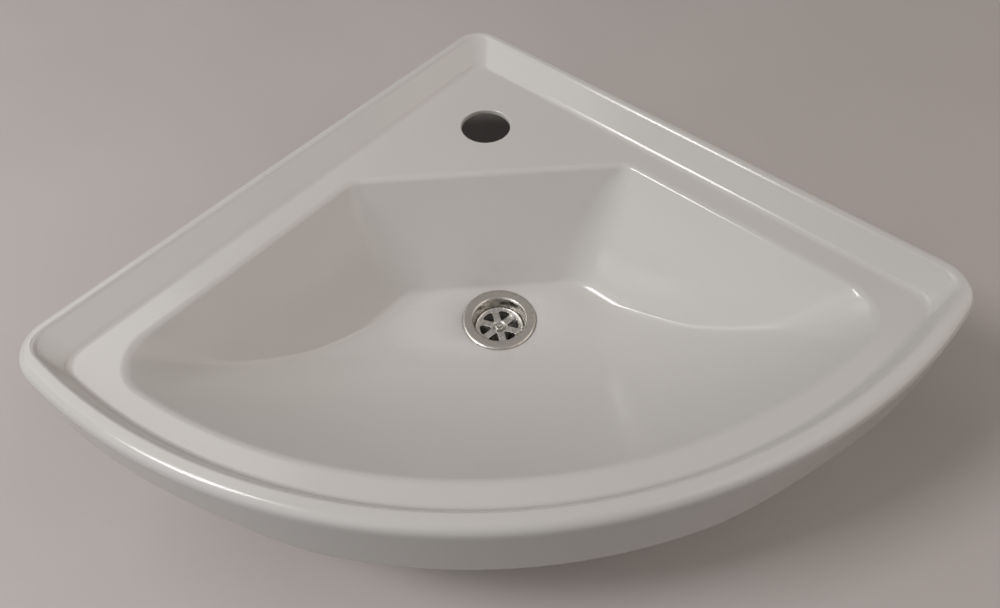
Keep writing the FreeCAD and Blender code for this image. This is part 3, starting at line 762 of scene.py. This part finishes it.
def bevelled(bm, edges, width, segments):
    """Round the given edges."""
    bmesh.ops.bevel(
        bm,
        geom=edges,
        offset=width * MM,
        segments=segments,
        profile=0.5,
        affect="EDGES",
        material=-1,
        clamp_overlap=True,
    )


def threaded(bm, crest, pitch, groove, top, foot):
    """Cut a screw thread into the upright wall that lies at the crest's radius."""
    for vert in bm.verts:
        radius = math.hypot(vert.co.x, vert.co.y) / MM
        height = vert.co.z / MM
        if abs(radius - crest) > ON_CREST or not foot < height < top:
            continue
        phase = (height / pitch + math.atan2(vert.co.y, vert.co.x) / math.tau) % 1.0
        cut = min(max(THREAD_FLAT - abs(phase * 2 - 1) * THREAD_FLANK, 0.0), 1.0)
        shown = min((top - height) / pitch, (height - foot) / pitch, 1.0)
        scale = (crest - groove * cut * shown) / crest
        vert.co.x *= scale
        vert.co.y *= scale


def upright(radius, top, foot, step):
    """Points down a straight wall."""
    count = round((top - foot) / step)
    return [(radius, top + (foot - top) * index / count) for index in range(count + 1)]


def placed(bm):
    """Merge, close and turn out a piece, and move it on to the waste's axis."""
    bmesh.ops.remove_doubles(bm, verts=bm.verts, dist=SAME_POINT)
    bmesh.ops.recalc_face_normals(bm, faces=bm.faces)
    bmesh.ops.translate(bm, verts=bm.verts, vec=WASTE_AXIS)
    return bm


def ring_mesh(outline):
    """A piece turned from its section."""
    bm = bmesh.new()
    spun(bm, rounded_ring(outline))
    return placed(bm)


def slot_loop(grown, height, turn):
    """Outline of one of the strainer's openings, made larger by a little."""
    half = sector(
        math.pi / SLOT_COUNT,
        0,
        SLOT_INSET - grown,
        SLOT_RADIUS + grown,
        SLOT_END_ROUND + grown,
        SLOT_APEX_ROUND + grown,
        counts=SLOT_COUNTS,
    )
    spin = Matrix.Rotation(turn, 3, "Z")
    return [spin @ Vector((point.x, point.y, height)) * MM for point, _, _ in closed(half)]


def strainer_mesh():
    """The spoked disc, with its raised edge, its recess and its openings."""
    bm = bmesh.new()
    outer, outer_edges = new_loop(bm, circle(*GRID_EDGE[0]))
    inner, inner_edges = new_loop(bm, circle(*GRID_RECESS[0], count=GRID_POINTS))
    above = outer_edges + inner_edges
    edge_loops = [circle(*point) for point in GRID_EDGE[1:]]
    recess_loops = [circle(*point, count=GRID_POINTS) for point in GRID_RECESS[1:]]
    _, outer_low = drawn_on(bm, outer, outer_edges, edge_loops)
    _, inner_low = drawn_on(bm, inner, inner_edges, recess_loops)
    below = outer_low + inner_low
    for index in range(SLOT_COUNT):
        turn = GRID_TURN + math.tau * index / SLOT_COUNT
        slot, slot_edges = new_loop(bm, slot_loop(SLOT_EDGE, GRID_TOP, turn))
        walls = []
        for step in range(1, SLOT_EDGE_STEPS + 1):
            angle = math.radians(90 * step / SLOT_EDGE_STEPS)
            grown = SLOT_EDGE * (1 - math.sin(angle))
            walls.append(slot_loop(grown, GRID_TOP - SLOT_EDGE * (1 - math.cos(angle)), turn))
        walls.append(slot_loop(0, GRID_FOOT + GRID_FOOT_EDGE, turn))
        walls.append(slot_loop(GRID_FOOT_EDGE, GRID_FOOT, turn))
        _, slot_low = drawn_on(bm, slot, slot_edges, walls)
        above += slot_edges
        below += slot_low
    for edges in (above, below):
        bmesh.ops.triangle_fill(bm, use_beauty=True, use_dissolve=False, edges=edges)
    return placed(bm)


def cross_loop(grown, height):
    """Outline of the screw's cross recess."""
    long = CROSS_LONG + grown
    thin = CROSS_THIN + grown
    corner = ((long, -thin), (long, thin), (thin, thin))
    points = []
    for quarter in range(4):
        spin = Matrix.Rotation(math.radians(90 * quarter + CROSS_TURN), 2)
        points += [spin @ Vector(spot) for spot in corner]
    return [Vector((point.x, point.y, height)) * MM for point in points]


def screw_mesh():
    """The screw: domed head, cross recess and threaded shank."""
    bm = bmesh.new()
    shank_end = SHANK_TIP + SHANK_POINT_HEIGHT
    wall = upright(SHANK_RADIUS, HEAD_SEAT, shank_end, SHANK_STEP)
    side = HEAD[1:] + tuple(wall) + SHANK_POINT
    top, top_edges = new_loop(bm, circle(*HEAD[0], count=SCREW_POINTS))
    loops = [circle(*point, count=SCREW_POINTS) for point in side]
    _, tip_edges = drawn_on(bm, top, top_edges, loops)
    threaded(bm, SHANK_RADIUS, SHANK_PITCH, SHANK_GROOVE, HEAD_SEAT - SHANK_PLAIN, shank_end)
    flare, lead = CROSS_LEAD
    cross, cross_edges = new_loop(bm, cross_loop(flare, HEAD_TOP))
    walls = [cross_loop(0, HEAD_TOP - lead), cross_loop(-CROSS_TAPER, HEAD_TOP - CROSS_DEPTH)]
    _, cross_low = drawn_on(bm, cross, cross_edges, walls)
    for edges in (top_edges + cross_edges, cross_low, tip_edges):
        bmesh.ops.triangle_fill(bm, use_beauty=True, use_dissolve=False, edges=edges)
    return placed(bm)


def body_mesh():
    """The waste's body: collar, chamber, threaded tail and the boss on its ribs."""
    bm = bmesh.new()
    outline = [point for point, _ in rounded_line(BODY_OUTSIDE, **BODY_CUTS)]
    outline += upright(TAIL_CREST, THREAD_START, THREAD_END, THREAD_STEP)
    outline += [point for point, _ in rounded_line(BODY_INSIDE, **BODY_CUTS)]
    spun(bm, outline)
    threaded(bm, TAIL_CREST, TAIL_PITCH, TAIL_GROOVE, THREAD_START, THREAD_END)
    boss = [point for point, _ in rounded_line(BOSS, **BODY_CUTS)]
    spun(bm, boss, BOSS_STEPS, whole=False)
    length = RIB_REACH - RIB_START
    for index in range(RIB_COUNT):
        rib = bmesh.ops.create_cube(bm, size=MM)["verts"]
        bmesh.ops.scale(bm, verts=rib, vec=(RIB_THICKNESS, length, RIB_TOP - RIB_FOOT))
        middle = Vector((0, -RIB_START - length / 2, (RIB_TOP + RIB_FOOT) / 2)) * MM
        bmesh.ops.translate(bm, verts=rib, vec=middle)
        spin = Matrix.Rotation(math.tau * index / RIB_COUNT, 3, "Z")
        bmesh.ops.rotate(bm, verts=rib, cent=(0, 0, 0), matrix=spin)
        edges = list({edge for vert in rib for edge in vert.link_edges})
        bevelled(bm, edges, RIB_EDGE, RIB_EDGE_SEGMENTS)
    return placed(bm)


# ------------------------------------------------------------------ the finishes
# Colours are shares of red, green and blue light.

SHELL_WHITE = (0.725, 0.71, 0.69)
SHELL_WARM = (0.712, 0.694, 0.668)
SHELL_WORN = (0.62, 0.595, 0.545)
LAID_PALE = (0.66, 0.64, 0.58)
LAID_DARK = (0.58, 0.555, 0.49)
POLISH_BRIGHT = (0.53, 0.515, 0.475)
POLISH_MARKED = (0.45, 0.435, 0.39)
STAMPED_BRIGHT = (0.64, 0.63, 0.605)
STAMPED_DULL = (0.5, 0.49, 0.455)
SCREW_BRIGHT = (0.52, 0.51, 0.48)
SCREW_STAINED = (0.3, 0.285, 0.25)
RUBBER_BLACK = (0.02, 0.02, 0.021)
RUBBER_BLOOM = (0.045, 0.044, 0.042)
PLASTIC_PALE = (0.61, 0.605, 0.58)
PLASTIC_FLOW = (0.54, 0.53, 0.5)
BRASS_BRIGHT = (0.72, 0.52, 0.24)
BRASS_TARNISHED = (0.5, 0.34, 0.14)
WORN_RING = (0.027, 0.05)  # the shell is worn round the waste, out to this far, in metres
FLANGE_BEND = (0.0185, 0.0205)  # where the flange turns from its cup to its flat, in metres
BACK_TURN = (-0.45, -0.15)  # a face that looks down by more than this is the shell's back
SHELL_IOR = 1.5


class Finish:
    """A material whose patterns lie on the object's own coordinates."""

    def __init__(self, name, metallic=0.0):
        self.material = bpy.data.materials.new(name)
        self.material.use_nodes = True
        self.tree = self.material.node_tree
        self.shader = self.tree.nodes["Principled BSDF"]
        self.shader.inputs["Metallic"].default_value = metallic
        self.place = self.tree.nodes.new("ShaderNodeTexCoord").outputs["Object"]

    def node(self, kind, **settings):
        """A new shader node of a kind."""
        node = self.tree.nodes.new("ShaderNode" + kind)
        for setting, value in settings.items():
            setattr(node, setting, value)
        return node

    def join(self, output, node, socket):
        """Link an output to a node's socket."""
        self.tree.links.new(output, node.inputs[socket])

    def mapped(self, centre=(0, 0, 0), stretch=(1, 1, 1)):
        """The object's coordinates about a centre, stretched."""
        node = self.node("Mapping")
        self.join(self.place, node, "Vector")
        node.inputs["Location"].default_value = [-c * s for c, s in zip(centre, stretch)]
        node.inputs["Scale"].default_value = stretch
        return node.outputs["Vector"]

    def noise(self, scale, detail=3.0, place=None):
        """Soft patches, about 0 to 1."""
        node = self.node("TexNoise")
        self.join(place or self.place, node, "Vector")
        node.inputs["Scale"].default_value = scale
        node.inputs["Detail"].default_value = detail
        return node.outputs["Fac"]

    def off_axis(self, centre):
        """Level distance from an upright axis, in metres."""
        apart = self.node("VectorMath", operation="MULTIPLY")
        self.join(self.mapped(centre), apart, 0)
        apart.inputs[1].default_value = (1, 1, 0)
        node = self.node("VectorMath", operation="LENGTH")
        self.join(apart.outputs["Vector"], node, 0)
        return node.outputs["Value"]

    def spread(self, value, low, high, start=0.3, end=0.7):
        """The value as it goes from start to end, made to go from low to high."""
        node = self.node("MapRange", interpolation_type="SMOOTHSTEP")
        self.join(value, node, "Value")
        for socket, number in (
            ("From Min", start),
            ("From Max", end),
            ("To Min", low),
            ("To Max", high),
        ):
            node.inputs[socket].default_value = number
        return node.outputs["Result"]

    def times(self, first, second):
        """Two values multiplied."""
        node = self.node("Math", operation="MULTIPLY")
        self.join(first, node, 0)
        self.join(second, node, 1)
        return node.outputs["Value"]

    def plus(self, first, second):
        """Two values added."""
        node = self.node("Math", operation="ADD")
        self.join(first, node, 0)
        self.join(second, node, 1)
        return node.outputs["Value"]

    def mixed(self, share, first, second):
        """A colour between two; either may be a colour or another mix."""
        node = self.node("Mix", data_type="RGBA")
        self.join(share, node, 0)
        for socket, colour in ((6, first), (7, second)):
            if isinstance(colour, tuple):
                node.inputs[socket].default_value = (*colour, 1)
            else:
                self.join(colour, node, socket)
        return node.outputs[2]

    def colour(self, output):
        """Set the surface's colour."""
        self.join(output, self.shader, "Base Color")

    def roughness(self, output):
        """Set the surface's roughness."""
        self.join(output, self.shader, "Roughness")

    def bumps(self, *layers):
        """Lay height patterns on one another, each as (output, depth in metres)."""
        last = None
        for height, depth in layers:
            node = self.node("Bump")
            node.inputs["Strength"].default_value = 1.0
            node.inputs["Distance"].default_value = depth
            self.join(height, node, "Height")
            if last:
                self.join(last, node, "Normal")
            last = node.outputs["Normal"]
        self.join(last, self.shader, "Normal")


def moulded_gloss():
    """Warm white gloss, with the faint waves of a moulded shell and a dull back."""
    finish = Finish("moulded_gloss")
    facing = finish.node("SeparateXYZ")
    normal = finish.node("TexCoord").outputs["Normal"]
    finish.join(normal, facing, "Vector")
    back = finish.spread(facing.outputs["Z"], 1.0, 0.0, *BACK_TURN)
    patch = finish.spread(finish.noise(5.0, 2.0), 0.0, 1.0, 0.35, 0.65)
    face = finish.mixed(patch, SHELL_WHITE, SHELL_WARM)
    ring = finish.spread(finish.off_axis(tuple(WASTE_AXIS)), 0.35, 0.0, *WORN_RING)
    worn = finish.times(ring, finish.spread(finish.noise(60.0, 5.0), 0.0, 1.0, 0.4, 0.7))
    face = finish.mixed(worn, face, SHELL_WORN)
    laid = finish.spread(finish.noise(90.0, 6.0), 0.0, 1.0, 0.35, 0.65)
    rough_back = finish.mixed(laid, LAID_PALE, LAID_DARK)
    finish.colour(finish.mixed(back, face, rough_back))
    sheen = finish.spread(finish.noise(24.0, 5.0), 0.12, 0.19)
    film = finish.spread(finish.noise(420.0, 2.0), 0.0, 0.03)
    dull = finish.spread(facing.outputs["Z"], 0.35, 0.0, *BACK_TURN)
    finish.roughness(finish.plus(finish.plus(sheen, film), dull))
    grain = finish.times(back, finish.noise(700.0, 4.0))
    waves = finish.noise(16.0, 1.0)
    peel = finish.noise(260.0, 2.0)
    finish.bumps((waves, 0.00035), (peel, 0.000008), (grain, 0.0006))
    finish.shader.inputs["IOR"].default_value = SHELL_IOR
    return finish.material


def pressed_polish():
    """Polished stainless sheet, with fine rings from its buffing and dull water marks."""
    finish = Finish("pressed_polish", metallic=1.0)
    far = finish.off_axis(tuple(WASTE_AXIS))
    rings = finish.node("TexNoise", noise_dimensions="1D")
    finish.join(far, rings, "W")
    rings.inputs["Scale"].default_value = 2600.0
    rings.inputs["Detail"].default_value = 4.0
    marks = finish.spread(finish.noise(240.0, 6.0), 0.0, 1.0, 0.48, 0.66)
    finish.colour(finish.mixed(marks, POLISH_BRIGHT, POLISH_MARKED))
    dull = finish.spread(finish.noise(240.0, 6.0), 0.15, 0.3, 0.45, 0.66)
    streak = finish.spread(rings.outputs["Fac"], 0.0, 0.06)
    flat = finish.spread(far, 0.0, 0.12, *FLANGE_BEND)
    finish.roughness(finish.plus(finish.plus(dull, streak), flat))
    finish.bumps((rings.outputs["Fac"], 0.000012), (finish.noise(120.0, 2.0), 0.00004))
    return finish.material


def stamped_steel():
    """Bright stamped stainless, softly blotched."""
    finish = Finish("stamped_steel", metallic=1.0)
    blotch = finish.spread(finish.noise(420.0, 5.0), 0.0, 1.0, 0.38, 0.62)
    finish.colour(finish.mixed(blotch, STAMPED_BRIGHT, STAMPED_DULL))
    finish.roughness(finish.spread(finish.noise(620.0, 4.0), 0.2, 0.42))
    finish.bumps((finish.noise(330.0, 3.0), 0.00009), (finish.noise(2600.0, 2.0), 0.000012))
    return finish.material


def screw_finish():
    """Machined steel, with turned marks about the screw's axis."""
    finish = Finish("screw_turned", metallic=1.0)
    turned = finish.node("TexNoise", noise_dimensions="1D")
    finish.join(finish.off_axis(tuple(WASTE_AXIS)), turned, "W")
    turned.inputs["Scale"].default_value = 5200.0
    stain = finish.spread(finish.noise(900.0, 4.0), 0.0, 1.0, 0.4, 0.7)
    finish.colour(finish.mixed(stain, SCREW_BRIGHT, SCREW_STAINED))
    finish.roughness(finish.spread(finish.noise(1400.0, 3.0), 0.22, 0.42))
    finish.bumps((turned.outputs["Fac"], 0.00002))
    return finish.material


def seal_finish():
    """Black rubber with a dusty bloom."""
    finish = Finish("seal_black")
    bloom = finish.spread(finish.noise(180.0, 6.0), 0.0, 1.0, 0.4, 0.7)
    finish.colour(finish.mixed(bloom, RUBBER_BLACK, RUBBER_BLOOM))
    finish.roughness(finish.spread(finish.noise(700.0, 3.0), 0.5, 0.72))
    finish.bumps((finish.noise(1500.0, 4.0), 0.00004))
    return finish.material


def waste_finish():
    """Satin moulded plastic, off-white, with flow marks down the tail."""
    finish = Finish("waste_satin")
    flow = finish.noise(70.0, 4.0, finish.mapped(tuple(WASTE_AXIS), (1, 1, 0.2)))
    tone = finish.spread(flow, 0.0, 1.0, 0.35, 0.65)
    finish.colour(finish.mixed(tone, PLASTIC_PALE, PLASTIC_FLOW))
    finish.roughness(finish.spread(finish.noise(500.0, 4.0), 0.34, 0.5))
    finish.bumps((finish.noise(1300.0, 3.0), 0.00002), (flow, 0.0001))
    return finish.material


def brass_finish():
    """Turned brass, slightly tarnished."""
    finish = Finish("insert_turned_brass", metallic=1.0)
    tarnish = finish.spread(finish.noise(400.0, 5.0), 0.0, 1.0, 0.4, 0.7)
    finish.colour(finish.mixed(tarnish, BRASS_BRIGHT, BRASS_TARNISHED))
    finish.roughness(finish.spread(finish.noise(800.0, 3.0), 0.24, 0.4))
    turned = finish.noise(900.0, 2.0, finish.mapped(tuple(WASTE_AXIS), (0.05, 0.05, 1)))
    finish.bumps((turned, 0.00003))
    return finish.material


# ------------------------------------------------------------------ the pieces

# Each piece's mesh, name, finish, material slot and the node that it replaces.
PIECES = (
    (shell_mesh, (), "shell_body", moulded_gloss, "shell", "basin_shell"),
    (ring_mesh, (FLANGE,), "flange_cup", pressed_polish, "pressed_steel", "waste_flange"),
    (strainer_mesh, (), "strainer_disc", stamped_steel, "strainer_steel", "strainer_grid"),
    (screw_mesh, (), "strainer_screw", screw_finish, "screw_steel", "centre_screw"),
    (ring_mesh, (UPPER_SEAL,), "seal_above", seal_finish, "seal_rubber", "upper_seal"),
    (ring_mesh, (LOWER_SEAL,), "seal_below", seal_finish, "seal_rubber", "lower_seal"),
    (body_mesh, (), "tail_body", waste_finish, "waste_plastic", "waste_body"),
)
for build, section, piece_name, surface, slot_name, node_name in PIECES:
    piece = finished(build(*section), piece_name, surface())
    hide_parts(node_name)

# The brass insert keeps the model's own mesh and only takes its finish here.
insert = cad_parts["screw_insert"]
brass = brass_finish()
for material_slot in insert.material_slots:
    material_slot.material = brass

# ------------------------------------------------------------------ the stage

visual_box = [list(corner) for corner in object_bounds()]

FLOOR_PALE = (0.69, 0.64, 0.62)
FLOOR_DEEPER = (0.65, 0.6, 0.58)
FLOOR_BOUNCE = (0.34, 0.32, 0.31)  # what the floor gives back to the basin
# Painted shadow: the floor's seen colour goes nearly black in a soft disc under the basin, not a
# shadow cast by the lamps.
FLOOR_PAINTED_SHADOW = (0.045, 0.041, 0.04)
FLOOR_SHEEN = 0.1
FLOOR_RADIUS = 1.25
FLOOR_POINTS = 160
FLOOR_MIDDLE = -0.2
# Centre and soft edge of the painted shadow under the basin, in metres.
PAINTED_SHADOW_MIDDLE = (0.0, -0.12, 0)
PAINTED_SHADOW_EDGE = (0.165, 0.235)


def floor_finish():
    """Plain pale floor, with a painted shadow: a soft near-black disc under the basin, seen by
    camera and glossy rays only.
    """
    finish = Finish("floor_pale")
    patch = finish.spread(finish.noise(3.0, 3.0), 0.0, 1.0, 0.3, 0.7)
    rays = finish.node("LightPath")
    shown = finish.plus(rays.outputs["Is Camera Ray"], rays.outputs["Is Glossy Ray"])
    shown = finish.plus(shown, rays.outputs["Is Transmission Ray"])
    pale = finish.mixed(patch, FLOOR_PALE, FLOOR_DEEPER)
    # Painted shadow under the basin, only in the colour that camera and glossy rays see; the
    # bounce colour keeps none of it.
    painted_shadow = finish.spread(finish.off_axis(PAINTED_SHADOW_MIDDLE), 1.0, 0.0, *PAINTED_SHADOW_EDGE)
    pale = finish.mixed(painted_shadow, pale, FLOOR_PAINTED_SHADOW)
    finish.colour(finish.mixed(shown, FLOOR_BOUNCE, pale))
    finish.roughness(finish.spread(finish.noise(40.0, 3.0), 0.6, 0.8))
    finish.bumps((finish.noise(90.0, 4.0), 0.0002))
    finish.shader.inputs["Specular IOR Level"].default_value = FLOOR_SHEEN
    return finish.material


def floor_made(height):
    """The round floor, at the height of the waste's tail."""
    bm = bmesh.new()
    bmesh.ops.create_circle(bm, cap_ends=True, segments=FLOOR_POINTS, radius=FLOOR_RADIUS)
    bmesh.ops.translate(bm, verts=bm.verts, vec=(0, FLOOR_MIDDLE, height))
    mesh = bpy.data.meshes.new("floor")
    bm.to_mesh(mesh)
    bm.free()
    mesh.materials.append(floor_finish())
    floor = bpy.data.objects.new("floor", mesh)
    bpy.context.scene.collection.objects.link(floor)


floor_made(visual_box[0][2])

ROOM_COLOUR = (0.96, 0.91, 0.89)
ROOM_LIGHT = 0.02
# How much brighter the room is to each kind of ray.
ROOM_SEEN = {"Is Camera Ray": 0.4, "Is Glossy Ray": 0.42, "Is Transmission Ray": 0.4}


def room():
    """A pale room that is seen and mirrored, and gives next to no light."""
    world = bpy.data.worlds.new("soft_room")
    world.use_nodes = True
    nodes = world.node_tree.nodes
    links = world.node_tree.links
    background = nodes["Background"]
    background.inputs["Color"].default_value = (*ROOM_COLOUR, 1)
    rays = nodes.new("ShaderNodeLightPath")
    strength = None
    for ray, extra in ROOM_SEEN.items():
        step = nodes.new("ShaderNodeMath")
        step.operation = "MULTIPLY_ADD"
        links.new(rays.outputs[ray], step.inputs[0])
        step.inputs[1].default_value = extra
        step.inputs[2].default_value = ROOM_LIGHT
        if strength:
            links.new(strength, step.inputs[2])
        strength = step.outputs[0]
    links.new(strength, background.inputs["Strength"])
    return world


bpy.context.scene.world = room()

LIT_POINT = Vector((0, -0.22, -0.05))
LAMP_DISTANCE = 1.7
# Each lamp's turn from the front towards the right, height above level, side, power, colour.
LAMPS = {
    "key": (-75, 50, 0.45, 10.3, (1.0, 0.97, 0.99)),
    "key_behind": (-120, 50, 0.9, 3.6, (1.0, 1.0, 0.93)),
    "low_left": (-50, 32, 1.6, 4.1, (0.93, 1.0, 1.0)),
    "edge_left": (-75, 28, 1.6, 2.1, (1.0, 0.95, 0.9)),
    "right_fill": (80, 32, 2.2, 12.6, (1.0, 0.9, 0.82)),
}


def softbox(name, turn, height, side, power, colour):
    """A square lamp of the studio, aimed at the bowl."""
    data = bpy.data.lights.new(name, "AREA")
    data.shape = "SQUARE"
    data.size = side
    data.energy = power
    data.color = colour
    turn = math.radians(turn)
    height = math.radians(height)
    level = math.cos(height)
    away = Vector((math.sin(turn) * level, -math.cos(turn) * level, math.sin(height)))
    lamp = bpy.data.objects.new(name, data)
    lamp.location = LIT_POINT + away * LAMP_DISTANCE
    lamp.rotation_euler = away.to_track_quat("Z", "Y").to_euler()
    bpy.context.scene.collection.objects.link(lamp)


for lamp_name, settings in LAMPS.items():
    softbox(lamp_name, *settings)

CAMERA_PLACE = (-0.01865, -0.55423, 0.36683)
CAMERA_FORWARD = Vector((0.03515, 0.60418, -0.79607))
CAMERA_UP = Vector((0.06761, 0.79330, 0.60506))
CAMERA_LENS = 28.85
CAMERA_SENSOR = 36


def camera_made():
    """The camera, at the height and tilt of someone who stands in front of the basin."""
    data = bpy.data.cameras.new("camera")
    data.sensor_width = CAMERA_SENSOR
    data.lens = CAMERA_LENS
    camera = bpy.data.objects.new("camera", data)
    forward = CAMERA_FORWARD.normalized()
    upward = (CAMERA_UP - forward * CAMERA_UP.dot(forward)).normalized()
    turn = Matrix((forward.cross(upward), upward, -forward)).transposed()
    camera.matrix_world = Matrix.Translation(CAMERA_PLACE) @ turn.to_4x4()
    bpy.context.scene.collection.objects.link(camera)
    return camera


bpy.context.scene.camera = camera_made()
bpy.context.scene.view_settings.view_transform = "Standard"
